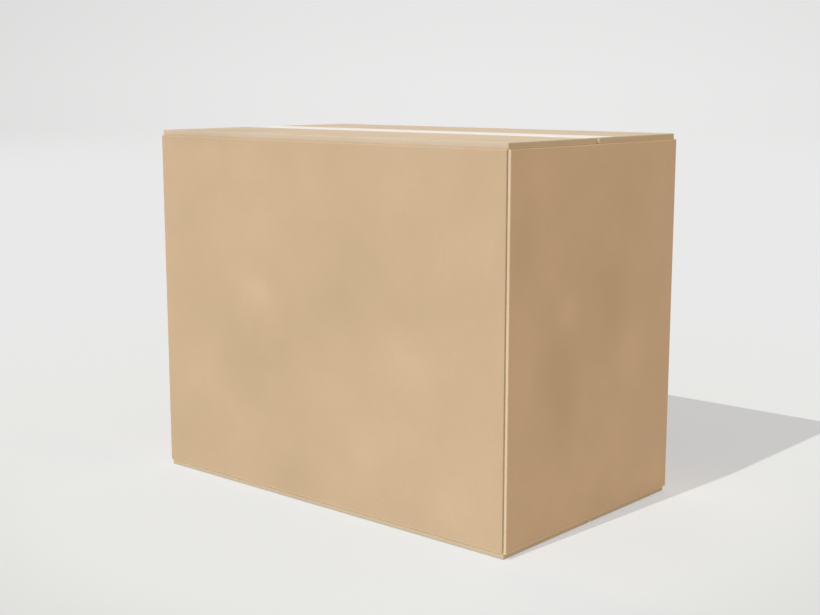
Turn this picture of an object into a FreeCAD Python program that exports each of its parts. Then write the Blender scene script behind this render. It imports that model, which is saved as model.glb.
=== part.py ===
import FreeCAD, Part

import os

import Sketcher

# A closed shipping carton: one folded board blank, and the tapes that hold its outer flaps shut.
#
# The board lies in slabs. Four upright panels make the wall, long ones at the front and the back
# and short ones at the ends. At the top and at the bottom an inner flap folds in from each end
# panel, and an outer flap folds over it from each long panel. The outer flaps nearly meet at a
# seam along the middle, and a tape closes it. The blank's two ends are joined by a glue tab in
# the back left corner.
#
# The origin is under the middle of the carton, in the plane it stands on. X runs along the
# length, Y along the width with the front at -Y, and Z up. Sizes are in millimetres.

SIZES = (
    # The carton, over its outer faces, without the tapes
    ("box_length", 500.0),
    ("box_width", 297.0),
    ("box_height", 395.0),
    ("board_thickness", 6.0),
    # Folds: how far a panel or flap stops short of the face of the panel that it folds from
    ("end_step", 3.1),
    ("side_step", 2.4),
    ("edge_rounding", 1.0),
    # Flaps: the gap at the seam, how far the upper outer flaps' corners there are worn round,
    # the slots cut between neighbouring flaps, and the play between layers that lie on each
    # other without being joined
    ("seam_gap", 2.5),
    ("worn_corner", 3.0),
    ("flap_slot", 5.0),
    ("layer_play", 0.15),
    # The glue tab inside the back left corner
    ("tab_width", 35.0),
    ("tab_slot", 8.0),
    # The tapes, which stop a little short of the outer flaps' cut ends
    ("tape_margin", 1.5),
    ("tape_width", 50.0),
    ("tape_thickness", 0.2),
    ("top_tape_offset", 6.0),
    ("bottom_tape_offset", 0.0),
)

LENGTH_TOLERANCE = 1e-4

# Places on the carton, as formulas over the sheet, measured from the carton's own centre
END_FACE = "dims.box_length / 2"
SIDE_FACE = "dims.box_width / 2"
TOP_FACE = "dims.box_height / 2"
LONG_PANEL_END = f"({END_FACE} - dims.end_step)"
END_PANEL_SIDE = f"({SIDE_FACE} - dims.side_step)"
END_PANEL_INSIDE = f"({END_FACE} - dims.board_thickness)"
SIDE_PANEL_INSIDE = f"({SIDE_FACE} - dims.board_thickness)"
OUTER_FLAP_UNDERSIDE = f"({TOP_FACE} - dims.board_thickness)"
INNER_FLAP_TOP = f"({OUTER_FLAP_UNDERSIDE} - dims.layer_play)"
INNER_FLAP_UNDERSIDE = f"({INNER_FLAP_TOP} - dims.board_thickness)"
SEAM_EDGE = "dims.seam_gap / 2"

# All flaps are cut to one depth, so an inner flap reaches in as far as an outer one does
INNER_FLAP_TIP = f"({END_FACE} - ({SIDE_FACE} - {SEAM_EDGE}))"
INNER_FLAP_SIDE = f"({SIDE_PANEL_INSIDE} - dims.flap_slot)"

TAPE_END = f"({LONG_PANEL_END} - dims.tape_margin)"


def add_sheet(document):
    """Fill the sheet of driving dimensions, one named cell to a row."""
    sheet = document.addObject("Spreadsheet::Sheet", "dims")
    for row, (name, value) in enumerate(SIZES, start=1):
        sheet.set(f"A{row}", name)
        sheet.set(f"B{row}", str(value))
        sheet.setAlias(f"B{row}", name)
    document.recompute()
    return sheet


def level_plane(body):
    """The body's own XY plane."""
    return next(f for f in body.Origin.OriginFeatures if f.Role == "XY_Plane")


def add_rectangles(body, name, rectangles, height="0 mm"):
    """Sketch rectangles on the body's level plane, raised by a formula.

    Each rectangle is four formulas: its low and high X, then its low and high Y. It is drawn as a
    provisional square, which the formulas then stretch.
    """
    sketch = body.newObject("Sketcher::SketchObject", name)
    sketch.AttachmentSupport = (level_plane(body), [""])
    sketch.MapMode = "FlatFace"
    sketch.setExpression("AttachmentOffset.Base.z", height)
    corners = [FreeCAD.Vector(0, 0), FreeCAD.Vector(1, 0), FreeCAD.Vector(1, 1), FreeCAD.Vector(0, 1)]
    for number, (low_x, high_x, low_y, high_y) in enumerate(rectangles):
        first = sketch.GeometryCount
        for side in range(4):
            sketch.addGeometry(Part.LineSegment(corners[side], corners[(side + 1) % 4]))
        for side in range(4):
            following = first + (side + 1) % 4
            sketch.addConstraint(Sketcher.Constraint("Coincident", first + side, 2, following, 1))
            direction = "Horizontal" if side % 2 == 0 else "Vertical"
            sketch.addConstraint(Sketcher.Constraint(direction, first + side))
        near, right, far = first, first + 1, first + 2
        bind(sketch, "DistanceX", f"low_x_{number}", near, 0, low_x)
        bind(sketch, "DistanceX", f"high_x_{number}", right, 1, high_x)
        bind(sketch, "DistanceY", f"low_y_{number}", near, 0, low_y)
        bind(sketch, "DistanceY", f"high_y_{number}", far, 1, high_y)
    return sketch


def bind(sketch, kind, name, line, provisional, formula):
    """Hold a line's first end at a distance from the sketch's origin that a formula gives."""
    axis_line, start = -1, 1
    index = sketch.addConstraint(Sketcher.Constraint(kind, axis_line, start, line, start, provisional))
    sketch.renameConstraint(index, name)
    sketch.setExpression(f"Constraints.{name}", formula)


def add_pad(body, name, sketch, length):
    """Raise a sketch by a formula."""
    pad = body.newObject("PartDesign::Pad", name)
    pad.Profile = sketch
    pad.setExpression("Length", length)
    sketch.Visibility = False
    return pad


def add_wall(body):
    """The four panels: a ring at the end panels' height, and the long panels, a little taller."""
    ring = add_rectangles(
        body,
        "end_panel_outline",
        [
            (f"-{END_FACE}", END_FACE, f"-{END_PANEL_SIDE}", END_PANEL_SIDE),
            (f"-{END_PANEL_INSIDE}", END_PANEL_INSIDE, f"-{SIDE_PANEL_INSIDE}", SIDE_PANEL_INSIDE),
        ],
        f"-{INNER_FLAP_TOP}",
    )
    add_pad(body, "end_panels", ring, f"2 * {INNER_FLAP_TOP}")
    panels = add_rectangles(
        body,
        "long_panel_outlines",
        [
            (f"-{LONG_PANEL_END}", LONG_PANEL_END, f"-{SIDE_FACE}", f"-{SIDE_PANEL_INSIDE}"),
            (f"-{LONG_PANEL_END}", LONG_PANEL_END, SIDE_PANEL_INSIDE, SIDE_FACE),
        ],
        f"-{OUTER_FLAP_UNDERSIDE}",
    )
    add_pad(body, "long_panels", panels, f"2 * {OUTER_FLAP_UNDERSIDE}")


def add_glue_tab(body):
    """The tab that continues the left end panel and is glued inside the back panel."""
    tab = add_rectangles(
        body,
        "glue_tab_outline",
        [
            (
                f"-{END_PANEL_INSIDE}",
                f"-({END_PANEL_INSIDE} - dims.tab_width)",
                f"{SIDE_PANEL_INSIDE} - dims.board_thickness",
                SIDE_PANEL_INSIDE,
            )
        ],
        f"-({INNER_FLAP_UNDERSIDE} - dims.tab_slot)",
    )
    add_pad(body, "glue_tab", tab, f"2 * ({INNER_FLAP_UNDERSIDE} - dims.tab_slot)")


def add_top_flaps(body):
    """The upper flaps: two inner ones from the end panels, two outer ones from the long panels."""
    inner = add_rectangles(
        body,
        "inner_flap_outlines",
        [
            (f"-{END_PANEL_INSIDE}", f"-{INNER_FLAP_TIP}", f"-{INNER_FLAP_SIDE}", INNER_FLAP_SIDE),
            (INNER_FLAP_TIP, END_PANEL_INSIDE, f"-{INNER_FLAP_SIDE}", INNER_FLAP_SIDE),
        ],
        INNER_FLAP_UNDERSIDE,
    )
    outer = add_rectangles(
        body,
        "outer_flap_outlines",
        [
            (f"-{LONG_PANEL_END}", LONG_PANEL_END, f"-{END_PANEL_SIDE}", f"-{SEAM_EDGE}"),
            (f"-{LONG_PANEL_END}", LONG_PANEL_END, SEAM_EDGE, END_PANEL_SIDE),
        ],
        OUTER_FLAP_UNDERSIDE,
    )
    return [
        add_pad(body, "inner_flaps", inner, "dims.board_thickness"),
        add_pad(body, "outer_flaps", outer, "dims.board_thickness"),
    ]


def add_bottom_flaps(body, top_flaps):
    """The lower flaps, which mirror the upper ones."""
    mirror = body.newObject("PartDesign::Mirrored", "bottom_flaps")
    mirror.Originals = top_flaps
    mirror.MirrorPlane = (level_plane(body), [""])
    body.Tip = mirror
    return mirror


def is_flap_corner(box, sizes):
    """Whether an edge with this box is an upright edge of an outer flap's cut end."""
    flap_end = sizes["box_length"] / 2 - sizes["end_step"]
    flap_underside = sizes["box_height"] / 2 - sizes["board_thickness"]
    return (
        abs(abs(box.XMin) - flap_end) < LENGTH_TOLERANCE
        and box.XLength < LENGTH_TOLERANCE
        and box.YLength < LENGTH_TOLERANCE
        and min(abs(box.ZMin), abs(box.ZMax)) > flap_underside - LENGTH_TOLERANCE
    )


def is_at_top_seam(box, sizes):
    """Whether an edge with this box lies in the top half, nearer to the seam than to the sides."""
    return box.ZMin > 0 and abs(box.YMin) < sizes["box_width"] / 4


def is_outermost(box, sizes):
    """Whether an edge with this box lies in one of the carton's outermost faces."""
    outermost = (sizes["box_length"] / 2, sizes["box_width"] / 2, sizes["box_height"] / 2)
    spans = ((box.XMin, box.XMax), (box.YMin, box.YMax), (box.ZMin, box.ZMax))
    return any(
        low * high > 0 and abs(min(abs(low), abs(high)) - outer) < LENGTH_TOLERANCE
        for (low, high), outer in zip(spans, outermost)
    )


def edge_names(shape, wanted):
    """Names of the edges whose box a test wants."""
    return [f"Edge{number}" for number, edge in enumerate(shape.Edges, start=1) if wanted(edge.BoundBox)]


def add_rounding(body, name, base, wanted, radius):
    """Round the edges that a test wants, by a radius that a formula gives."""
    rounding = body.newObject("PartDesign::Fillet", name)
    rounding.Base = (base, edge_names(base.Shape, wanted))
    rounding.setExpression("Radius", radius)
    body.Tip = rounding
    return rounding


def add_carton(document, sizes):
    """The folded blank, modelled about its own centre and set on the bottom tape."""
    body = document.addObject("PartDesign::Body", "carton")
    add_wall(body)
    add_glue_tab(body)
    top_flaps = add_top_flaps(body)
    folded = add_bottom_flaps(body, top_flaps)
    document.recompute()
    worn = add_rounding(
        body,
        "worn_corners",
        folded,
        lambda box: is_flap_corner(box, sizes) and is_at_top_seam(box, sizes),
        "dims.worn_corner",
    )
    document.recompute()
    add_rounding(
        body,
        "edge_rounding",
        worn,
        lambda box: is_outermost(box, sizes) or (is_flap_corner(box, sizes) and not is_at_top_seam(box, sizes)),
        "min(dims.edge_rounding; 0.4 * dims.side_step; 0.4 * dims.end_step; 0.4 * dims.board_thickness)",
    )
    body.setExpression("Placement.Base.z", f"dims.tape_thickness + {TOP_FACE}")
    return body


def add_tape(document, name, offset, height):
    """A straight strip of tape along a seam, moved off the middle by an offset, at a height."""
    body = document.addObject("PartDesign::Body", name)
    outline = add_rectangles(
        body,
        f"{name}_outline",
        [(f"-{TAPE_END}", TAPE_END, f"{offset} - dims.tape_width / 2", f"{offset} + dims.tape_width / 2")],
    )
    add_pad(body, f"{name}_strip", outline, "dims.tape_thickness")
    body.setExpression("Placement.Base.z", height)
    return body


def check(document, bodies):
    """Stop on a failed object, and on a part that isn't one sound solid."""
    for item in document.Objects:
        if "Invalid" in item.State or "Error" in item.State:
            raise RuntimeError(f"{item.Label} failed: {item.State}")
    for body in bodies:
        if body.Shape.isNull() or not body.Shape.isValid() or len(body.Shape.Solids) != 1:
            raise RuntimeError(f"{body.Label} is not one sound solid")


def main():
    document = FreeCAD.newDocument("shipping_carton")
    add_sheet(document)
    bodies = [
        add_carton(document, dict(SIZES)),
        add_tape(document, "top_tape", "dims.top_tape_offset", "dims.tape_thickness + dims.box_height"),
        add_tape(document, "bottom_tape", "dims.bottom_tape_offset", "0 mm"),
    ]
    document.recompute()
    check(document, bodies)
    os.makedirs("parts", exist_ok=True)
    for body in bodies:
        body.Shape.exportStep(f"parts/{body.Label}.step")
        box = body.Shape.BoundBox
        print(body.Label, f"{body.Shape.Volume:.1f} mm3", f"{box.XLength:.2f} x {box.YLength:.2f} x {box.ZLength:.2f}")


main()
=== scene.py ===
"""Dresses a closed shipping carton: its folded board, its two sealing tapes, and a pale studio."""

from __future__ import annotations

import logging
import math
from dataclasses import dataclass, field
from enum import Enum

import bpy
import numpy as np
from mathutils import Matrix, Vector

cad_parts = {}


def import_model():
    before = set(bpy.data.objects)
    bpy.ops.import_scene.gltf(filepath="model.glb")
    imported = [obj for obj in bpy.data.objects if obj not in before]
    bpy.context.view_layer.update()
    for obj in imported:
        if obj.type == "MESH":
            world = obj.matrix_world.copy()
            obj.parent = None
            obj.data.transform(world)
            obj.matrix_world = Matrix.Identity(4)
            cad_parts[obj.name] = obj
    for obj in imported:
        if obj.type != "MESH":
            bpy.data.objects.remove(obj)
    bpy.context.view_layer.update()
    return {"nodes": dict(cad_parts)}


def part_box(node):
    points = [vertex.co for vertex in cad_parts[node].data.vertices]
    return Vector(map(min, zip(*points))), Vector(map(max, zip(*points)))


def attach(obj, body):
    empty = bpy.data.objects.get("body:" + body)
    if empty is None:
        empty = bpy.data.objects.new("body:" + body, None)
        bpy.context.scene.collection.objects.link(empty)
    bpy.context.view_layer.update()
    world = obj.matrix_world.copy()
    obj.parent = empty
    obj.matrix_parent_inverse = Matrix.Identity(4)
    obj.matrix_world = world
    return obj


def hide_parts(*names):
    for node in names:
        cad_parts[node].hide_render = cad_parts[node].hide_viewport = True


log = logging.getLogger("carton")

ROOT_BODY = "root"
MILLIMETRE = 0.001

Value = bpy.types.NodeSocket | float | tuple[float, ...]
Colour = tuple[float, float, float]

# The standard screen curve: where its straight foot ends, the foot's slope, and the power curve above it
SCREEN_FOOT_END = 0.04045
SCREEN_FOOT_SLOPE = 12.92
SCREEN_OFFSET = 0.055
SCREEN_POWER = 2.4


def linear(red: int, green: int, blue: int) -> Colour:
    """Turns a colour as a screen shows it, 0 to 255, into scene light.

    Each channel follows the standard screen curve: a straight foot below 0.04, and a power of 2.4 above it.

    Args:
        red: Red, 0 to 255.
        green: Green, 0 to 255.
        blue: Blue, 0 to 255.

    Returns:
        The three channels, 0 to 1, in linear light.
    """
    shown = np.array([red, green, blue]) / 255.0
    curved = ((shown + SCREEN_OFFSET) / (1.0 + SCREEN_OFFSET)) ** SCREEN_POWER
    light = np.where(shown <= SCREEN_FOOT_END, shown / SCREEN_FOOT_SLOPE, curved)
    return tuple(float(channel) for channel in light)


def spaced(name: str) -> str:
    """A socket's name, from a keyword with underscores for spaces."""
    return name.replace("_", " ").capitalize()


class Blend(Enum):
    """What a mix node mixes."""

    NUMBER = "FLOAT"
    COLOUR = "RGBA"


class Wiring:
    """Adds nodes to one node tree and joins their sockets."""

    def __init__(self, tree: bpy.types.NodeTree) -> None:
        """Keeps the tree that the nodes go into."""
        self.tree = tree

    def add(self, kind: str, **settings: object) -> bpy.types.Node:
        """Adds a node of a kind and sets its own settings.

        Args:
            kind: The node's type name.
            **settings: Its settings by name, such as operation.

        Returns:
            The new node.
        """
        node = self.tree.nodes.new(kind)
        for name, value in settings.items():
            setattr(node, name, value)
        return node

    def feed(self, socket: bpy.types.NodeSocket, value: Value) -> None:
        """Joins a socket to another, or sets it to a plain value.

        Args:
            socket: The input.
            value: The other socket, or the plain value.
        """
        if isinstance(value, bpy.types.NodeSocket):
            self.tree.links.new(value, socket)
        else:
            socket.default_value = value

    def maths(self, operation: str, *values: Value) -> bpy.types.NodeSocket:
        """Works out one number from others.

        Args:
            operation: The maths node's operation.
            *values: One to three sockets or numbers.

        Returns:
            The socket that holds the result.
        """
        node = self.add("ShaderNodeMath", operation=operation)
        for socket, value in zip(node.inputs, values):
            self.feed(socket, value)
        return node.outputs[0]

    def minus(self, first: Value, second: Value) -> bpy.types.NodeSocket:
        """One number less another."""
        return self.maths("SUBTRACT", first, second)

    def lifted(self, value: Value, factor: Value, base: Value) -> bpy.types.NodeSocket:
        """A number times a factor, on top of a base."""
        return self.maths("MULTIPLY_ADD", value, factor, base)

    def times(self, first: Value, *others: Value) -> bpy.types.NodeSocket:
        """Multiplies numbers.

        Args:
            first: The first number.
            *others: The numbers that it is multiplied by.

        Returns:
            The socket that holds their product.
        """
        product = first
        for other in others:
            product = self.maths("MULTIPLY", product, other)
        return product

    def vector(self, operation: str, *values: Value) -> bpy.types.NodeSocket:
        """Works out one vector, or its length, from others.

        Args:
            operation: The vector maths node's operation.
            *values: The sockets or vectors that it works on, in the node's order.

        Returns:
            The socket that holds the result.
        """
        node = self.add("ShaderNodeVectorMath", operation=operation)
        for socket, value in zip(node.inputs, values):
            self.feed(socket, value)
        return node.outputs["Value" if operation in ("LENGTH", "DOT_PRODUCT") else "Vector"]

    def scaled(self, vector: Value, scale: Value) -> bpy.types.NodeSocket:
        """Works out a vector or colour times a number.

        Args:
            vector: The vector or colour.
            scale: The number.

        Returns:
            The socket that holds the result.
        """
        node = self.add("ShaderNodeVectorMath", operation="SCALE")
        self.feed(node.inputs["Vector"], vector)
        self.feed(node.inputs["Scale"], scale)
        return node.outputs["Vector"]

    def parts(self, vector: Value) -> tuple[bpy.types.NodeSocket, ...]:
        """Splits a vector.

        Args:
            vector: The vector.

        Returns:
            The sockets that hold its X, Y and Z.
        """
        node = self.add("ShaderNodeSeparateXYZ")
        self.feed(node.inputs[0], vector)
        return tuple(node.outputs)

    def joined(self, x: Value, y: Value, z: Value) -> bpy.types.NodeSocket:
        """Makes a vector of three numbers.

        Args:
            x: Its X.
            y: Its Y.
            z: Its Z.

        Returns:
            The socket that holds the vector.
        """
        node = self.add("ShaderNodeCombineXYZ")
        for socket, value in zip(node.inputs, (x, y, z)):
            self.feed(socket, value)
        return node.outputs[0]

    def ramp(
        self, value: Value, low: Value, high: Value, start: float = 0.0, end: float = 1.0
    ) -> bpy.types.NodeSocket:
        """Works out a smooth step of a number.

        Args:
            value: The number.
            low: Where the step starts.
            high: Where the step ends.
            start: The result up to low.
            end: The result from high on.

        Returns:
            The socket that holds the result.
        """
        node = self.add("ShaderNodeMapRange", interpolation_type="SMOOTHSTEP")
        names = ("Value", "From Min", "From Max", "To Min", "To Max")
        for name, part in zip(names, (value, low, high, start, end)):
            self.feed(node.inputs[name], part)
        return node.outputs["Result"]

    def fall(self, value: Value, low: Value, high: Value) -> bpy.types.NodeSocket:
        """A smooth step of a number from 1 down to 0."""
        return self.ramp(value, low, high, 1.0, 0.0)

    def noise(
        self, place: Value, size: float, detail: float, roughness: float = 0.5
    ) -> bpy.types.NodeSocket:
        """Works out cloudy noise at a place.

        Args:
            place: The place.
            size: How large the clouds are.
            detail: How many times finer noise is added to it.
            roughness: How strong the finer noise is.

        Returns:
            The socket that holds the noise, from 0 to 1 about 0.5.
        """
        node = self.add("ShaderNodeTexNoise", noise_dimensions="3D")
        names = ("Vector", "Scale", "Detail", "Roughness")
        for name, part in zip(names, (place, 1 / size, detail, roughness)):
            self.feed(node.inputs[name], part)
        return node.outputs["Fac"]

    def clouds(
        self, place: Value, size: float, detail: float, roughness: float = 0.5
    ) -> bpy.types.NodeSocket:
        """The same noise about 0."""
        return self.minus(self.noise(place, size, detail, roughness), 0.5)

    def mixed(
        self, share: Value, first: Value, second: Value, kind: Blend = Blend.COLOUR
    ) -> bpy.types.NodeSocket:
        """Mixes two colours or two numbers.

        Args:
            share: The share of the second.
            first: The first colour or number.
            second: The second.
            kind: What they are.

        Returns:
            The socket that holds the mix.
        """
        node = self.add("ShaderNodeMix", data_type=kind.value)
        sockets = [socket for socket in node.inputs if socket.enabled]
        for socket, part in zip(sockets, (share, first, second)):
            is_colour = isinstance(part, tuple)
            self.feed(socket, (*part, 1.0) if is_colour else part)
        return next(socket for socket in node.outputs if socket.enabled)

    def blended(self, share: Value, first: Value, second: Value) -> bpy.types.NodeSocket:
        """Blends two shaders.

        Args:
            share: The share of the second.
            first: The first shader.
            second: The second shader.

        Returns:
            The socket that holds the blend.
        """
        node = self.add("ShaderNodeMixShader")
        for socket, part in zip(node.inputs, (share, first, second)):
            self.feed(socket, part)
        return node.outputs[0]

    def group(self, tree: bpy.types.NodeTree, **values: Value) -> bpy.types.Node:
        """Places a node group.

        Args:
            tree: The group.
            **values: Its inputs by name, with underscores for spaces.

        Returns:
            The group's node.
        """
        node = self.add("ShaderNodeGroup", node_tree=tree)
        for name, value in values.items():
            self.feed(node.inputs[spaced(name)], value)
        return node


class GroupBuilder:
    """Starts a shader node group with named inputs and outputs."""

    def __init__(self, name: str, inputs: dict[str, str], outputs: dict[str, str]) -> None:
        """Makes the group and its sockets.

        Args:
            name: The group's name.
            inputs: Each input's name and socket type.
            outputs: Each output's name and socket type.
        """
        self.tree = bpy.data.node_groups.new(name, "ShaderNodeTree")
        for side, sockets in (("INPUT", inputs), ("OUTPUT", outputs)):
            for label, kind in sockets.items():
                self.tree.interface.new_socket(name=label, in_out=side, socket_type=kind)
        self.wiring = Wiring(self.tree)
        self.inputs = self.wiring.add("NodeGroupInput").outputs
        self.results = self.wiring.add("NodeGroupOutput").inputs

    def finish(self, **results: Value) -> bpy.types.NodeTree:
        """Joins the results to the group's outputs.

        Args:
            **results: The results by the outputs' names, with underscores for spaces.

        Returns:
            The group.
        """
        for name, value in results.items():
            self.wiring.feed(self.results[spaced(name)], value)
        return self.tree


FLOAT = "NodeSocketFloat"
VECTOR = "NodeSocketVector"

# The paper's speckle: how finely it goes on, and how strong its finest part is
SPECKLE_DETAIL = 3.0
SPECKLE_ROUGHNESS = 0.6

# Its fibres: their length in widths, the noise's detail, where it is cut off, over how much, and their rise
FIBRE_SLENDERNESS = 7.0
FIBRE_DETAIL = 1.0
FIBRE_CUT = 0.71
FIBRE_SOFTNESS = 0.05
FIBRE_RISE = 0.5


def paper_grain_group() -> bpy.types.NodeTree:
    """Builds the grain of pressed paper: a fine speckle, and short fibres that lie level.

    The speckle is noise at the grain's pitch. A fibre is noise drawn out along two axes and cut off high, so
    that few and short dashes are left of it.

    Returns:
        The group, with a speckle about 0, a fibre mask and a height.
    """
    group = GroupBuilder(
        "paper_grain",
        {"Place": VECTOR, "Pitch": FLOAT, "Fibre length": FLOAT},
        {"Speckle": FLOAT, "Fibres": FLOAT, "Height": FLOAT},
    )
    wires, inputs = group.wiring, group.inputs
    fine = wires.scaled(inputs["Place"], wires.maths("DIVIDE", 1.0, inputs["Pitch"]))
    speckle = wires.clouds(fine, 1.0, SPECKLE_DETAIL, SPECKLE_ROUGHNESS)
    drawn = wires.maths("DIVIDE", 1.0, inputs["Fibre length"])
    slim = wires.maths("DIVIDE", FIBRE_SLENDERNESS, inputs["Fibre length"])
    stretched = wires.vector("MULTIPLY", inputs["Place"], wires.joined(drawn, drawn, slim))
    dashes = wires.noise(stretched, 1.0, FIBRE_DETAIL)
    fibres = wires.ramp(dashes, FIBRE_CUT, FIBRE_CUT + FIBRE_SOFTNESS)
    height = wires.lifted(fibres, FIBRE_RISE, speckle)
    return group.finish(speckle=speckle, fibres=fibres, height=height)


def soft_patch_group() -> bpy.types.NodeTree:
    """Builds a soft-edged patch.

    The distance from the patch's centre is taken in shares of its radii, shifted by the wave so that its edge
    isn't an ellipse, and the mask falls smoothly from 1 at the middle to 0 at the radii.

    Returns:
        The group, with a mask.
    """
    group = GroupBuilder(
        "soft_patch",
        {"Place": VECTOR, "Centre": VECTOR, "Radii": VECTOR, "Wave": FLOAT},
        {"Mask": FLOAT},
    )
    wires, inputs = group.wiring, group.inputs
    offset = wires.vector("SUBTRACT", inputs["Place"], inputs["Centre"])
    away = wires.vector("LENGTH", wires.vector("DIVIDE", offset, inputs["Radii"]))
    distance = wires.maths("ADD", away, inputs["Wave"])
    return group.finish(mask=wires.fall(distance, 0.0, 1.0))


# How much of a surface's normal lies along an axis where it starts to face that way and where it fully does:
# a wall, the flat of a folded rim, a level face, the raw edge where it turns from the cut end, and its depth,
# the last two for the painted light in the seam gap
FACES_WALL = (0.6, 0.8)
FACES_RIM = (0.82, 0.97)
FACES_LEVEL = (0.5, 0.8)
FACES_END = (0.6, 0.9)
FACES_SEAM = (0.75, 0.98)

# How far a fold's paler colour fades out above and below it
FOLD_FADE = 0.0025

# The painted highlight line: how far its middle lies past the end panel's edge, and the share of its width
# that is full
RUBBED_RISE = 0.0004
RUBBED_CORE = 0.4

# The ledge over the lower flaps, lightened as painted light over the overhang's shade: how far above their
# top it starts, and how far down it is full and reaches
LEDGE_START = 0.0012
LEDGE_CORE = 0.0009
LEDGE_REACH = 0.0026

# The seam's raw edge, which carries painted light in the gap: how far it reaches sideways, and in from the
# flaps' cut ends
SEAM_REACH = 0.0046
SEAM_DEPTH = 0.006


def fold_zones_group() -> bpy.types.NodeTree:
    """Builds the masks of the carton's folds and cut edges, from a place and how the surface faces there.

    All places are folded into one eighth of the carton by taking them without their sign from its centre. In
    that eighth the flap layer lies above the half height less the board, the end panel's rim beyond the half
    length less the step, and a surface faces along an axis where its normal has most of its length there. The
    seam's raw edge, which carries painted light in the gap, is the part of the flap layer near the seam and
    the cut end that faces neither along X nor up. The painted highlight runs along the end panel's upper edge
    and the cut ends over it. The ledge, which is lightened as painted light over the overhang's shade, is the
    strip at the top of the lower flap layer.

    Returns:
        The group, with masks for the flaps' faces (painted sheen), all their folds and the lower folds, their
        cut ends, the seam's raw edge and its flat depth (painted light in the gap), the ledge (painted
        light), the end panels' rims (painted highlight), the long panels' cut ends (painted shade in the
        notch), what faces along the length, and the painted highlight line.
    """
    group = GroupBuilder(
        "fold_zones",
        {
            "Place": VECTOR,
            "Facing": VECTOR,
            "Centre": VECTOR,
            "Half size": VECTOR,
            "Board": FLOAT,
            "Step": FLOAT,
            "Rubbed width": FLOAT,
        },
        {
            "Flap face": FLOAT,
            "Flap fold": FLOAT,
            "Low fold": FLOAT,
            "Flap end": FLOAT,
            "Raw edge": FLOAT,
            "Raw depth": FLOAT,
            "Ledge": FLOAT,
            "Rim": FLOAT,
            "Panel end": FLOAT,
            "Across": FLOAT,
            "Rubbed": FLOAT,
        },
    )
    wires, inputs = group.wiring, group.inputs
    offset = wires.vector("SUBTRACT", inputs["Place"], inputs["Centre"])
    lower = wires.maths("LESS_THAN", wires.parts(offset)[2], 0.0)
    x, y, z = wires.parts(wires.vector("ABSOLUTE", offset))
    half_x, _, half_z = wires.parts(inputs["Half size"])
    facing_x, facing_y, facing_z = wires.parts(wires.vector("ABSOLUTE", inputs["Facing"]))
    faces_end = wires.ramp(facing_x, *FACES_WALL)
    faces_side = wires.ramp(facing_y, *FACES_WALL)

    layer = wires.minus(half_z, inputs["Board"])
    into_layer = wires.minus(z, layer)
    in_flaps = wires.maths("GREATER_THAN", z, layer)
    below_flaps = wires.minus(1.0, in_flaps)
    # The flaps' level faces, which get a painted sheen
    flap_face = wires.times(in_flaps, wires.ramp(facing_z, *FACES_LEVEL))
    flap_fold = wires.times(wires.ramp(into_layer, -FOLD_FADE, FOLD_FADE), faces_side)

    cut_end = wires.minus(half_x, inputs["Step"])
    beyond_step = wires.maths("GREATER_THAN", x, cut_end)
    # The end panels' front cut edges, painted paler as a highlight
    rim = wires.times(below_flaps, beyond_step, wires.ramp(facing_y, *FACES_RIM))
    # The long panels' cut ends in the corner notch, which carry painted shade
    half_step = wires.times(inputs["Step"], 0.5)
    stepped_back = wires.maths("LESS_THAN", x, wires.minus(half_x, half_step))
    panel_end = wires.times(below_flaps, stepped_back, faces_end)

    # The painted highlight along the end panel's upper edge and the cut ends over it
    from_line = wires.maths("ABSOLUTE", wires.minus(into_layer, RUBBED_RISE))
    core = wires.times(inputs["Rubbed width"], RUBBED_CORE)
    at_line = wires.fall(from_line, core, inputs["Rubbed width"])
    near_wall = wires.maths("GREATER_THAN", x, wires.minus(half_x, inputs["Board"]))
    rubbed = wires.times(at_line, near_wall, faces_end)

    # The ledge, lightened as painted light over the overhang's shade
    above_reach = wires.fall(into_layer, LEDGE_CORE, LEDGE_REACH)
    ledge = wires.times(lower, above_reach, wires.ramp(into_layer, -LEDGE_START, 0.0))

    # The seam's raw edge and its depth, which carry painted light in the gap
    near_seam = wires.maths("LESS_THAN", y, SEAM_REACH)
    near_end = wires.maths("GREATER_THAN", x, wires.minus(cut_end, SEAM_DEPTH))
    turned = wires.times(wires.fall(facing_x, *FACES_END), wires.fall(facing_z, *FACES_LEVEL))
    raw_edge = wires.times(near_seam, near_end, in_flaps, turned)
    return group.finish(
        flap_face=flap_face,
        flap_fold=flap_fold,
        low_fold=wires.times(flap_fold, lower),
        flap_end=wires.times(in_flaps, faces_end),
        raw_edge=raw_edge,
        raw_depth=wires.times(raw_edge, wires.ramp(facing_y, *FACES_SEAM)),
        ledge=ledge,
        rim=rim,
        panel_end=panel_end,
        across=faces_end,
        rubbed=rubbed,
    )


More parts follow.
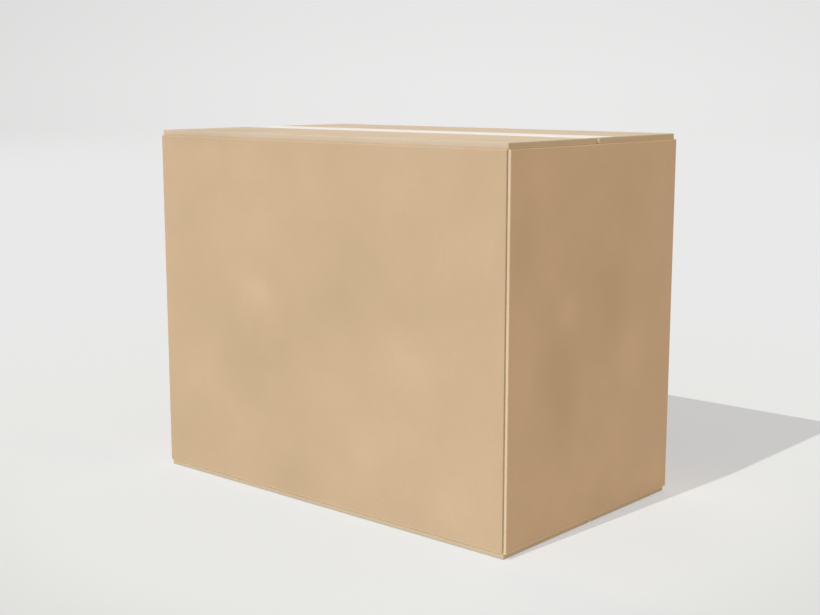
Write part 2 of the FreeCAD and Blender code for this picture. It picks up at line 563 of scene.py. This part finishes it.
@dataclass(frozen=True)
class BoardFinish:
    """Brown board with a matt liner: its colours, some of them painted sheen, highlights, light and shade,
    and how far its marks lighten or darken it.
    """

    liner: Colour = linear(203, 172, 133)
    # Painted sheen: the flaps' level faces are paler and cooler than the liner, as grazing gloss would make
    # them
    flap_face: Colour = linear(215, 192, 159)
    fold: Colour = linear(210, 188, 157)
    low_fold: Colour = linear(203, 182, 148)
    # The end panels' front cut edges: partly the raw edge's own colour, partly a painted highlight where they
    # face the lamp
    rim: Colour = linear(229, 201, 166)
    cut_end: Colour = linear(194, 174, 139)
    # Painted shade: the long panels' cut ends in the corner notch, partly the raw cut end's colour and partly
    # painted darker as the notch's shade
    panel_end: Colour = linear(181, 159, 123)
    # Painted light in the seam gap: the raw edge is partly its own paler colour, and the faces deep in the
    # gap are painted near white
    raw_edge: Colour = linear(226, 205, 168)
    raw_depth: Colour = linear(255, 240, 206)
    # Painted highlight along the end panel's upper edge: its colour, its share and its width
    rubbed: Colour = linear(226, 200, 164)
    rubbing: float = 0.6
    rubbed_width: float = 0.0013
    # Painted light: how much the ledge under the overhang is lightened
    ledge_lift: float = 0.36
    patch_strength: float = 1.25
    patch_wave: float = 1.3
    patch_wave_size: float = 0.06
    patch_wave_detail: float = 4.0
    cloud_depth: float = 0.12
    cloud_size: float = 0.16
    cloud_detail: float = 5.0
    cloud_roughness: float = 0.66
    speckle_depth: float = 0.05
    grain_pitch: float = 0.0009
    fibre_lift: float = 0.1
    fibre_length: float = 0.006
    flute_pitch: float = 0.007
    flute_depth: float = 0.002
    grain_height: float = 0.03
    flute_height: float = 0.006
    roughness: float = 0.62
    roughness_spread: float = 0.12
    gloss: float = 0.5


@dataclass(frozen=True)
class TapeFinish:
    """Off-white paper tape with a faint satin coat."""

    paper: Colour = linear(247, 243, 232)
    cloud_depth: float = 0.02
    cloud_size: float = 0.05
    cloud_detail: float = 3.0
    speckle_depth: float = 0.03
    grain_pitch: float = 0.0006
    fibre_length: float = 0.004
    grain_height: float = 0.012
    roughness: float = 0.42
    gloss: float = 0.5


class Panel(Enum):
    """A panel, by the axes that run across it and up it, the axis that it faces along, and the side."""

    FRONT = (0, 2, 1, -1)
    BACK = (0, 2, 1, 1)
    LEFT_END = (1, 2, 0, -1)
    RIGHT_END = (1, 2, 0, 1)
    TOP = (0, 1, 2, 1)


@dataclass(frozen=True)
class Patch:
    """A paler or darker patch, in shares of its panel's width and height from the lower left corner."""

    across: float
    up: float
    wide: float
    high: float
    shade: float


# Pale and dark patches of the liner on a long panel
SIDE_PATCHES = (
    Patch(0.32, 0.57, 0.10, 0.08, 0.06),
    Patch(0.57, 0.58, 0.24, 0.19, -0.045),
    Patch(0.29, 0.36, 0.15, 0.21, -0.055),
    Patch(0.77, 0.45, 0.23, 0.15, 0.035),
    Patch(0.64, 0.24, 0.15, 0.14, 0.025),
    Patch(0.46, 0.06, 0.16, 0.09, -0.035),
    Patch(0.08, 0.76, 0.08, 0.09, -0.035),
    Patch(0.17, 0.93, 0.24, 0.10, 0.025),
    Patch(0.91, 0.75, 0.14, 0.12, 0.025),
    Patch(0.09, 0.31, 0.12, 0.16, 0.025),
    Patch(0.86, 0.09, 0.12, 0.09, 0.03),
)

# The same on an end panel
END_PATCHES = (
    Patch(0.09, 0.77, 0.18, 0.14, -0.055),
    Patch(0.33, 0.57, 0.11, 0.09, 0.07),
    Patch(0.29, 0.38, 0.17, 0.25, -0.06),
    Patch(0.58, 0.58, 0.22, 0.22, -0.045),
    Patch(0.66, 0.87, 0.24, 0.22, -0.035),
    Patch(0.71, 0.41, 0.13, 0.20, 0.045),
    Patch(0.07, 0.44, 0.10, 0.22, 0.03),
    Patch(0.16, 0.92, 0.12, 0.12, 0.025),
    Patch(0.49, 0.07, 0.24, 0.10, -0.03),
    Patch(0.92, 0.07, 0.16, 0.13, 0.05),
)

# The same on the top, which is read from above with the front panel towards the reader
TOP_PATCHES = (
    Patch(0.14, 0.10, 0.20, 0.45, -0.08),
    Patch(0.62, 0.30, 0.20, 0.24, 0.02),
    Patch(0.36, 0.78, 0.22, 0.20, -0.03),
)

PANEL_PATCHES = {
    Panel.FRONT: SIDE_PATCHES,
    Panel.BACK: SIDE_PATCHES,
    Panel.LEFT_END: END_PATCHES,
    Panel.RIGHT_END: END_PATCHES,
    Panel.TOP: TOP_PATCHES,
}

# The panels whose patches are turned upside down, so that they don't look like the opposite ones
TURNED_PANELS = (Panel.BACK, Panel.LEFT_END)

# How far in from its panel a patch reaches
PATCH_DEPTH = 0.024


def new_material(name: str) -> tuple[bpy.types.Material, Wiring]:
    """Makes an empty material.

    Args:
        name: The material's name.

    Returns:
        The material and its wiring.
    """
    material = bpy.data.materials.new(name)
    material.use_nodes = True
    material.node_tree.nodes.clear()
    return material, Wiring(material.node_tree)


def add_surface(wires: Wiring, roughness: Value, gloss: float, height: Value) -> bpy.types.Node:
    """Adds a material's main shader, with a relief.

    Args:
        wires: The material's wiring.
        roughness: How rough it is.
        gloss: How strong its gloss is.
        height: The relief's height in millimetres.

    Returns:
        The shader.
    """
    bump = wires.add("ShaderNodeBump")
    bump.inputs["Distance"].default_value = MILLIMETRE
    wires.feed(bump.inputs["Height"], height)
    shader = wires.add("ShaderNodeBsdfPrincipled")
    wires.feed(shader.inputs["Roughness"], roughness)
    wires.feed(shader.inputs["Normal"], bump.outputs["Normal"])
    shader.inputs["Specular IOR Level"].default_value = gloss
    wires.feed(wires.add("ShaderNodeOutputMaterial").inputs["Surface"], shader.outputs["BSDF"])
    return shader


def add_object(name: str, data: bpy.types.ID) -> bpy.types.Object:
    """Makes an object and puts it in the scene.

    Args:
        name: The object's name.
        data: Its mesh, lamp or lens.

    Returns:
        The object.
    """
    thing = bpy.data.objects.new(name, data)
    bpy.context.scene.collection.objects.link(thing)
    return thing


def aim(thing: bpy.types.Object, direction: Vector) -> None:
    """Turns a lamp or camera so that it looks along a direction."""
    thing.rotation_mode = "QUATERNION"
    thing.rotation_quaternion = direction.to_track_quat("-Z", "Y")


@dataclass
class Carton:
    """The folded blank. Its solid has the real form, so it only gets its finish."""

    node: str = "carton"
    board: float = 0.006
    end_step: float = 0.0031
    finish: BoardFinish = field(default_factory=BoardFinish)

    def half_size(self) -> Vector:
        """Half the carton's length, width and height."""
        low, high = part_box(self.node)
        return (high - low) / 2

    def centre(self) -> Vector:
        """The middle of the carton."""
        low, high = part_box(self.node)
        return (high + low) / 2

    def patch_place(self, panel: Panel, patch: Patch) -> tuple[Vector, Vector]:
        """Works out where a patch lies.

        A panel is read from outside, so its left is the low end of the axis across it where the panel faces
        -Y, +X or up, and the high end on the other two.

        Args:
            panel: The panel that the patch is on.
            patch: The patch, in shares of the panel.

        Returns:
            The patch's centre and its radii along X, Y and Z.
        """
        across_axis, up_axis, own_axis, side = panel.value
        half, centre = self.half_size(), self.centre()
        rightwards = -side if own_axis == 1 else side
        turn = -1 if panel in TURNED_PANELS else 1
        place, radii = Vector(centre), Vector((0.0, 0.0, 0.0))
        place[own_axis] += side * half[own_axis]
        place[across_axis] += turn * rightwards * (2 * patch.across - 1) * half[across_axis]
        place[up_axis] += turn * (2 * patch.up - 1) * half[up_axis]
        radii[own_axis] = PATCH_DEPTH
        radii[across_axis] = 2 * patch.wide * half[across_axis]
        radii[up_axis] = 2 * patch.high * half[up_axis]
        return place, radii

    def patches(self, wires: Wiring, place: Value, tree: bpy.types.NodeTree) -> bpy.types.NodeSocket:
        """Adds up the patches of all panels.

        Args:
            wires: The material's wiring.
            place: The place on the carton.
            tree: The soft patch group.

        Returns:
            The socket that holds how much the patches lighten the liner.
        """
        finish = self.finish
        clouds = wires.clouds(place, finish.patch_wave_size, finish.patch_wave_detail)
        wave = wires.times(clouds, finish.patch_wave)
        total: Value = 0.0
        for panel, patches in PANEL_PATCHES.items():
            for patch in patches:
                centre, radii = (tuple(vector) for vector in self.patch_place(panel, patch))
                mask = wires.group(tree, place=place, centre=centre, radii=radii, wave=wave)
                total = wires.lifted(mask.outputs["Mask"], patch.shade * finish.patch_strength, total)
        return total

    def zones(self, wires: Wiring, coordinates: bpy.types.Node) -> bpy.types.bpy_prop_collection:
        """Places the fold zones for this carton.

        Args:
            wires: The material's wiring.
            coordinates: The material's texture coordinates.

        Returns:
            The zones' sockets by name.
        """
        group = wires.group(
            fold_zones_group(),
            place=coordinates.outputs["Object"],
            facing=coordinates.outputs["Normal"],
            centre=tuple(self.centre()),
            half_size=tuple(self.half_size()),
            board=self.board,
            step=self.end_step,
            rubbed_width=self.finish.rubbed_width,
        )
        return group.outputs

    def flutes(self, wires: Wiring, place: Value, across: Value) -> bpy.types.NodeSocket:
        """Works out the washboard that the flutes press into the liner: a wave along X, or Y on the ends.

        Args:
            wires: The material's wiring.
            place: The place on the carton.
            across: How much the surface is an end, 0 to 1.

        Returns:
            The socket that holds the wave, -1 to 1.
        """
        x, y, _ = wires.parts(place)
        run = wires.mixed(across, x, y, Blend.NUMBER)
        return wires.maths("SINE", wires.times(run, 2 * math.pi / self.finish.flute_pitch))

    def colour(self, wires: Wiring, zones: bpy.types.bpy_prop_collection) -> Value:
        """Lays the colours of the folds and cut edges, and the painted sheen, highlights, light and shade,
        over the liner's, one after another.

        Args:
            wires: The material's wiring.
            zones: The zones' sockets by name.

        Returns:
            The socket that holds the colour.
        """
        finish = self.finish
        layers = (
            (zones["Flap fold"], finish.fold),
            (zones["Low fold"], finish.low_fold),
            (zones["Flap face"], finish.flap_face),
            (zones["Rim"], finish.rim),
            (zones["Flap end"], finish.cut_end),
            (zones["Raw edge"], finish.raw_edge),
            (zones["Raw depth"], finish.raw_depth),
            (zones["Panel end"], finish.panel_end),
            (wires.times(zones["Rubbed"], finish.rubbing), finish.rubbed),
        )
        colour: Value = finish.liner
        for share, layer in layers:
            colour = wires.mixed(share, colour, layer)
        return colour

    def material(self, grain: bpy.types.NodeTree, patch: bpy.types.NodeTree) -> bpy.types.Material:
        """Builds the board's material.

        Args:
            grain: The paper grain group.
            patch: The soft patch group.

        Returns:
            The material.
        """
        finish = self.finish
        material, wires = new_material("kraft_board")
        coordinates = wires.add("ShaderNodeTexCoord")
        place = coordinates.outputs["Object"]
        zones = self.zones(wires, coordinates)
        paper = wires.group(
            grain, place=place, pitch=finish.grain_pitch, fibre_length=finish.fibre_length
        ).outputs
        flutes = self.flutes(wires, place, zones["Across"])

        clouds = wires.clouds(place, finish.cloud_size, finish.cloud_detail, finish.cloud_roughness)
        tone = wires.lifted(clouds, 2 * finish.cloud_depth, 1.0)
        tone = wires.maths("ADD", tone, self.patches(wires, place, patch))
        tone = wires.lifted(paper["Speckle"], 2 * finish.speckle_depth, tone)
        tone = wires.lifted(paper["Fibres"], finish.fibre_lift, tone)
        # Painted light over the shade that the overhang casts on the ledge
        tone = wires.lifted(zones["Ledge"], finish.ledge_lift, tone)
        tone = wires.lifted(flutes, finish.flute_depth, tone)

        roughness = wires.lifted(paper["Speckle"], finish.roughness_spread, finish.roughness)
        grain_height = wires.times(paper["Height"], finish.grain_height)
        height = wires.lifted(flutes, finish.flute_height, grain_height)
        shader = add_surface(wires, roughness, finish.gloss, height)
        wires.feed(shader.inputs["Base Color"], wires.scaled(self.colour(wires, zones), tone))
        return material

    def dress(self, grain: bpy.types.NodeTree, patch: bpy.types.NodeTree, node: bpy.types.Object) -> None:
        """Puts the board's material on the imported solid.

        Args:
            grain: The paper grain group.
            patch: The soft patch group.
            node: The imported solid.
        """
        material = self.material(grain, patch)
        for slot in node.material_slots:
            slot.material = material
        log.info("%s: board finish on %d triangles", self.node, len(node.data.polygons))


# How fast the tape's dip falls off: what the squared distance from the seam is multiplied by
DIP_SHARPNESS = 2.0

# The waves in the tape's outer face: turns along X and Y in radians a metre, and where they start
TAPE_WAVES = (
    (37.0, 60.0, 0.0),
    (91.0, -140.0, 1.3),
)


def quads(index: np.ndarray) -> np.ndarray:
    """Lists the four corners of each cell of a grid, turned to face up where X and Y run up the grid.

    Args:
        index: The grid's vertex numbers.

    Returns:
        The cells' corners, cells by 4.
    """
    corners = (index[:-1, :-1], index[1:, :-1], index[1:, 1:], index[:-1, 1:])
    return np.stack([corner.ravel() for corner in corners], axis=1)


@dataclass
class SealingTape:
    """A strip of paper tape over a seam, which sags a little where it bridges the gap."""

    node: str
    outward: int
    seam_gap: float = 0.0025
    rounding: float = 0.001
    sag: float = 0.0005
    wave_share: float = 0.2
    finish: TapeFinish = field(default_factory=TapeFinish)
    rows: int = 160
    columns: int = 60
    column_evenness: float = 0.25

    def surface(self) -> tuple[np.ndarray, np.ndarray]:
        """Works out the strip's outer and inner faces on a grid.

        The grid's rows run along the strip from end to end and its columns from edge to edge, closer together
        over the seam, because their places are part share and part cube of the share. Both faces dip by the
        sag times a bell curve of the distance from the seam, in half widths of the bridged gap. The outer
        face also falls by up to a share of the tape's thickness, in the mean of two long soft sine waves.

        Returns:
            The outer and the inner face, each rows by columns by 3, in metres.
        """
        low, high = (np.array(corner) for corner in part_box(self.node))
        thickness = high[2] - low[2]
        along = np.linspace(low[0], high[0], self.rows)
        share = np.linspace(-1.0, 1.0, self.columns)
        spread = self.column_evenness * share + (1.0 - self.column_evenness) * share**3
        across = np.where(share < 0, low[1] * -spread, high[1] * spread)
        x, y = np.meshgrid(along, across, indexing="ij")
        bridged = self.seam_gap / 2 + self.rounding
        dip = self.sag * np.exp(-((y / bridged) ** 2) * DIP_SHARPNESS)
        waves = [np.sin(x_turn * x + y_turn * y + start) for x_turn, y_turn, start in TAPE_WAVES]
        falls = self.wave_share * thickness * (0.5 + 0.5 * np.mean(waves, axis=0))
        wall = high[2] if self.outward > 0 else low[2]
        inner_wall = low[2] if self.outward > 0 else high[2]
        outer = wall - self.outward * (dip + falls)
        inner = inner_wall - self.outward * dip
        return np.stack([x, y, outer], axis=2), np.stack([x, y, inner], axis=2)

    def mesh(self) -> bpy.types.Mesh:
        """Joins the two faces round their rim into a closed mesh whose faces point outwards.

        Returns:
            The mesh.
        """
        outer, inner = self.surface()
        count = self.rows * self.columns
        index = np.arange(count).reshape(self.rows, self.columns)
        cells = quads(index)
        rim = np.concatenate([index[:-1, 0], index[-1, :-1], index[:0:-1, -1], index[0, :0:-1]])
        following = np.roll(rim, -1)
        band = np.stack([rim, rim + count, following + count, following], axis=1)
        faces = np.concatenate([cells, cells[:, ::-1] + count, band])
        if self.outward < 0:
            faces = faces[:, ::-1]
        mesh = bpy.data.meshes.new(self.node + "_strip")
        points = np.concatenate([outer.reshape(-1, 3), inner.reshape(-1, 3)])
        mesh.from_pydata(points.tolist(), [], faces.tolist())
        mesh.update()
        return mesh

    def material(self, grain: bpy.types.NodeTree) -> bpy.types.Material:
        """Builds the tape's material.

        Args:
            grain: The paper grain group.

        Returns:
            The material.
        """
        finish = self.finish
        material, wires = new_material("paper_tape")
        place = wires.add("ShaderNodeTexCoord").outputs["Object"]
        paper = wires.group(
            grain, place=place, pitch=finish.grain_pitch, fibre_length=finish.fibre_length
        ).outputs
        clouds = wires.clouds(place, finish.cloud_size, finish.cloud_detail)
        tone = wires.lifted(clouds, 2 * finish.cloud_depth, 1.0)
        tone = wires.lifted(paper["Speckle"], 2 * finish.speckle_depth, tone)
        height = wires.times(paper["Height"], finish.grain_height)
        shader = add_surface(wires, finish.roughness, finish.gloss, height)
        wires.feed(shader.inputs["Base Color"], wires.scaled(finish.paper, tone))
        return material

    def build(self, material: bpy.types.Material) -> bpy.types.Object:
        """Makes the strip, in place of its plain solid.

        Args:
            material: The tape's material.

        Returns:
            The strip.
        """
        piece = add_object(self.node + "_strip", self.mesh())
        piece.data.materials.append(material)
        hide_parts(self.node)
        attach(piece, ROOT_BODY)
        log.info("%s: %d faces", piece.name, len(piece.data.polygons))
        return piece


# The backdrop's shade: how much it loses sideways and upwards, and what is left at least
BACKDROP_SIDE_FALL = 0.69
BACKDROP_RISE_FALL = 0.55
BACKDROP_LEAST = 0.88

# Painted shade: the floor is darker towards the front: the way there, where that starts and ends, over which
# radii, how much
FLOOR_FRONT = (0.66, -0.75, 0.0)
FLOOR_FRONT_START = -0.1
FLOOR_FRONT_END = 0.2
FLOOR_BRIGHT_RADIUS = 0.38
FLOOR_DULL_RADIUS = 0.56
FLOOR_DULLING = 0.08

# Over which distances from the middle the floor turns a little cooler
FLOOR_COOL_START = 0.5
FLOOR_COOL_END = 1.3

# The shares of its radius between which the floor fades out
FLOOR_FADE_START = 0.4
FLOOR_FADE_END = 0.99

# The light made up near the carton: the wall height that it counts with, and its share
HIDING_HEIGHT = 0.12
MADE_UP_SHARE = 0.43

# How much of each colour is made up before the lit front, and how far either side of its foot that fades in
LIT_SIDE_SHARES = (0.26, 0.42, 0.72)
LIT_SIDE_FADE = 0.03


def seen_directly(wires: Wiring) -> bpy.types.NodeSocket:
    """Tells what the camera sees, directly, in gloss or through glass, from the light that falls on things.

    Args:
        wires: The world's or material's wiring.

    Returns:
        The socket that holds 1 for what is seen and 0 for light.
    """
    rays = wires.add("ShaderNodeLightPath").outputs
    seen = wires.maths("MAXIMUM", rays["Is Camera Ray"], rays["Is Glossy Ray"])
    return wires.maths("MAXIMUM", seen, rays["Is Transmission Ray"])


@dataclass
class Studio:
    """A pale floor and sky, soft light all round, one crisp lamp from the front, and the camera."""

    sky_light: Colour = (0.70, 0.585, 0.468)
    sun_light: Colour = (0.60, 0.78, 1.0)
    sun_strength: float = 2.31
    sun_width_degrees: float = 0.5
    sun_travel: tuple[float, float, float] = (0.063, 1.034, -1.0)
    backdrop_white: Colour = (0.822, 0.822, 0.818)
    backdrop_azimuth_degrees: float = -37.0
    floor_paint: Colour = (0.40, 0.40, 0.40)
    floor_fill: Colour = (0.36, 0.35, 0.34)
    shown_paint: Colour = (0.685, 0.55, 0.41)
    shown_glow: Colour = (0.124, 0.273, 0.389)
    far_glow: Colour = (0.0, 0.0, 0.021)
    floor_radius: float = 12.3
    floor_drop: float = 0.00002
    floor_rings: int = 24
    floor_spokes: int = 96
    camera_place: tuple[float, float, float] = (0.97843, -1.11465, 0.45008)
    camera_yaw_degrees: float = -41.263
    camera_pitch_degrees: float = -9.648
    focal_pixels: float = 1332.0
    picture_width_pixels: float = 820.0
    sensor_width: float = 36.0

    def build(self) -> None:
        """Makes the floor, the world, the lamp and the camera."""
        bpy.context.scene.view_settings.view_transform = "Standard"
        self.add_world()
        self.add_floor()
        self.add_sun()
        self.add_camera()

    def add_world(self) -> None:
        """Lights the object evenly, while the camera and gloss see a pale backdrop."""
        world = bpy.data.worlds.new("pale_studio")
        bpy.context.scene.world = world
        world.use_nodes = True
        world.node_tree.nodes.clear()
        wires = Wiring(world.node_tree)
        light, seen = (wires.add("ShaderNodeBackground") for _ in range(2))
        light.inputs["Color"].default_value = (*self.sky_light, 1.0)
        wires.feed(seen.inputs["Color"], wires.scaled(self.backdrop_white, self.backdrop_shade(wires)))
        look = wires.blended(seen_directly(wires), light.outputs[0], seen.outputs[0])
        wires.feed(wires.add("ShaderNodeOutputWorld").inputs["Surface"], look)

    def backdrop_shade(self, wires: Wiring) -> bpy.types.NodeSocket:
        """Shades the backdrop: brightest low down behind the carton, a little duller above and sideways.

        The shade falls with the height of the line of sight, and with the square of how far it turns away
        from the backdrop's middle, down to a least value.

        Args:
            wires: The world's wiring.

        Returns:
            The socket that holds the shade.
        """
        middle = math.radians(self.backdrop_azimuth_degrees)
        sideways = (math.cos(middle), -math.sin(middle), 0.0)
        direction = wires.add("ShaderNodeTexCoord").outputs["Generated"]
        turned = wires.vector("DOT_PRODUCT", direction, sideways)
        _, _, height = wires.parts(direction)
        shade = wires.lifted(wires.times(turned, turned), -BACKDROP_SIDE_FALL, 1.0)
        shade = wires.lifted(wires.maths("MAXIMUM", height, 0.0), -BACKDROP_RISE_FALL, shade)
        return wires.maths("MAXIMUM", shade, BACKDROP_LEAST)

    def floor_material(self) -> bpy.types.Material:
        """Builds the floor's material: one look for the camera, and another for the light it throws back.

        What the camera sees is a share of the paint's own light, which holds the shadow, and a glow that
        makes up the rest. The light that it throws back is half scattered and half its own, so that the
        carton's foot isn't dull. Far out and from below the floor is clear.

        Returns:
            The material.
        """
        material, wires = new_material("pale_floor")
        place = wires.add("ShaderNodeTexCoord").outputs["Object"]
        away = wires.vector("LENGTH", place)
        forwards = wires.vector("DOT_PRODUCT", place, FLOOR_FRONT)
        in_front = wires.ramp(forwards, FLOOR_FRONT_START, FLOOR_FRONT_END)
        far_out = wires.ramp(away, FLOOR_BRIGHT_RADIUS, FLOOR_DULL_RADIUS)
        # Painted shade: the floor darker towards the front, out past a radius
        near = wires.lifted(wires.times(in_front, far_out), -FLOOR_DULLING, 1.0)
        cool = wires.ramp(away, FLOOR_COOL_START, FLOOR_COOL_END)
        glow = wires.vector("ADD", wires.scaled(self.shown_glow, near), self.made_up_light(wires, place))
        glow = wires.vector("ADD", glow, wires.scaled(self.far_glow, cool))
        seen = self.painted(wires, wires.scaled(self.shown_paint, near), glow)
        thrown = self.painted(wires, (*self.floor_paint, 1.0), (*self.floor_fill, 1.0))
        clear = wires.add("ShaderNodeBsdfTransparent").outputs[0]
        fade_start, fade_end = FLOOR_FADE_START * self.floor_radius, FLOOR_FADE_END * self.floor_radius
        seen = wires.blended(wires.ramp(away, fade_start, fade_end), seen, clear)
        look = wires.blended(seen_directly(wires), thrown, seen)
        look = wires.blended(wires.add("ShaderNodeNewGeometry").outputs["Backfacing"], look, clear)
        wires.feed(wires.add("ShaderNodeOutputMaterial").inputs["Surface"], look)
        return material

    def painted(self, wires: Wiring, paint: Value, glow: Value) -> bpy.types.NodeSocket:
        """Makes a matt paint with a glow of its own.

        Args:
            wires: The floor's wiring.
            paint: The paint's colour.
            glow: The glow's colour.

        Returns:
            The socket that holds the shader.
        """
        matt = wires.add("ShaderNodeBsdfDiffuse")
        wires.feed(matt.inputs["Color"], paint)
        light = wires.add("ShaderNodeEmission")
        wires.feed(light.inputs["Color"], glow)
        both = wires.add("ShaderNodeAddShader")
        wires.feed(both.inputs[0], matt.outputs[0])
        wires.feed(both.inputs[1], light.outputs[0])
        return both.outputs[0]

    def made_up_light(self, wires: Wiring, place: Value) -> bpy.types.NodeSocket:
        """Makes up for the sky that the carton hides from the floor, so that the floor is even to its foot.

        A wall of height h hides half of one less d over the root of d squared and h squared of the sky, at a
        distance d from its foot. The height is taken lower than the carton's, since its walls aren't endless.
        Before the lit front, which throws warm light back, less red and green is made up.

        Args:
            wires: The floor's wiring.
            place: The place on the floor.

        Returns:
            The socket that holds the light.
        """
        low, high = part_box("carton")
        half, centre = (high - low) / 2, (high + low) / 2
        offset = wires.vector("SUBTRACT", place, (centre[0], centre[1], 0.0))
        beyond = wires.vector("SUBTRACT", wires.vector("ABSOLUTE", offset), (half[0], half[1], 0.0))
        away = wires.vector("LENGTH", wires.vector("MAXIMUM", beyond, (0.0, 0.0, 0.0)))
        slant = wires.maths("SQRT", wires.lifted(away, away, HIDING_HEIGHT**2))
        hidden = wires.minus(0.5, wires.maths("DIVIDE", wires.times(away, 0.5), slant))
        lost = tuple(sky * paint * MADE_UP_SHARE for sky, paint in zip(self.sky_light, self.shown_paint))
        before = tuple(light * share for light, share in zip(lost, LIT_SIDE_SHARES))
        front_foot = -half[1]
        _, forward, _ = wires.parts(offset)
        in_front = wires.fall(forward, front_foot - LIT_SIDE_FADE, front_foot + LIT_SIDE_FADE)
        return wires.scaled(wires.mixed(in_front, lost, before), hidden)

    def add_floor(self) -> None:
        """Makes the floor: rings of points about the origin, their radii growing as a square."""
        radius = self.floor_radius * (np.arange(1, self.floor_rings + 1) / self.floor_rings) ** 2
        turn = np.linspace(0.0, 2 * np.pi, self.floor_spokes, endpoint=False)
        x, y = np.outer(radius, np.cos(turn)), np.outer(radius, np.sin(turn))
        rings = np.stack([x, y, np.full_like(x, -self.floor_drop)], axis=2).reshape(-1, 3)
        points = np.concatenate([[[0.0, 0.0, -self.floor_drop]], rings])
        index = 1 + np.arange(len(rings)).reshape(self.floor_rings, self.floor_spokes)
        wrapped = np.concatenate([index, index[:, :1]], axis=1)
        inmost = np.stack([wrapped[0, :-1], wrapped[0, 1:]], axis=1)
        middle = np.concatenate([np.zeros_like(inmost[:, :1]), inmost], axis=1)
        mesh = bpy.data.meshes.new("floor")
        mesh.from_pydata(points.tolist(), [], quads(wrapped).tolist() + middle.tolist())
        mesh.materials.append(self.floor_material())
        floor = add_object("floor", mesh)

    def add_sun(self) -> None:
        """Adds the lamp. Its light travels back, a little to the right, and down at 44 degrees."""
        lamp = bpy.data.lights.new("key_light", "SUN")
        lamp.energy = self.sun_strength
        lamp.color = self.sun_light
        lamp.angle = math.radians(self.sun_width_degrees)
        aim(add_object("key_light", lamp), Vector(self.sun_travel))

    def add_camera(self) -> None:
        """Sets the camera at the photograph's place and angle."""
        lens = bpy.data.cameras.new("camera")
        lens.sensor_fit = "HORIZONTAL"
        lens.sensor_width = self.sensor_width
        lens.lens = self.sensor_width * self.focal_pixels / self.picture_width_pixels
        holder = add_object("camera", lens)
        yaw, pitch = math.radians(self.camera_yaw_degrees), math.radians(self.camera_pitch_degrees)
        level = math.cos(pitch)
        holder.location = self.camera_place
        aim(holder, Vector((math.sin(yaw) * level, math.cos(yaw) * level, math.sin(pitch))))
        bpy.context.scene.camera = holder


def main() -> None:
    """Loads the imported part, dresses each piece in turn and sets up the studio."""
    logging.basicConfig(level=logging.INFO, format="%(name)s %(message)s")
    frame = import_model()
    Studio().build()
    log.info("studio: floor, backdrop, lamp and camera")
    grain, patch = paper_grain_group(), soft_patch_group()
    Carton().dress(grain, patch, frame["nodes"]["carton"])
    tapes = [SealingTape("top_tape", 1), SealingTape("bottom_tape", -1)]
    material = tapes[0].material(grain)
    for tape in tapes:
        tape.build(material)


if __name__ == "__main__":
    main()
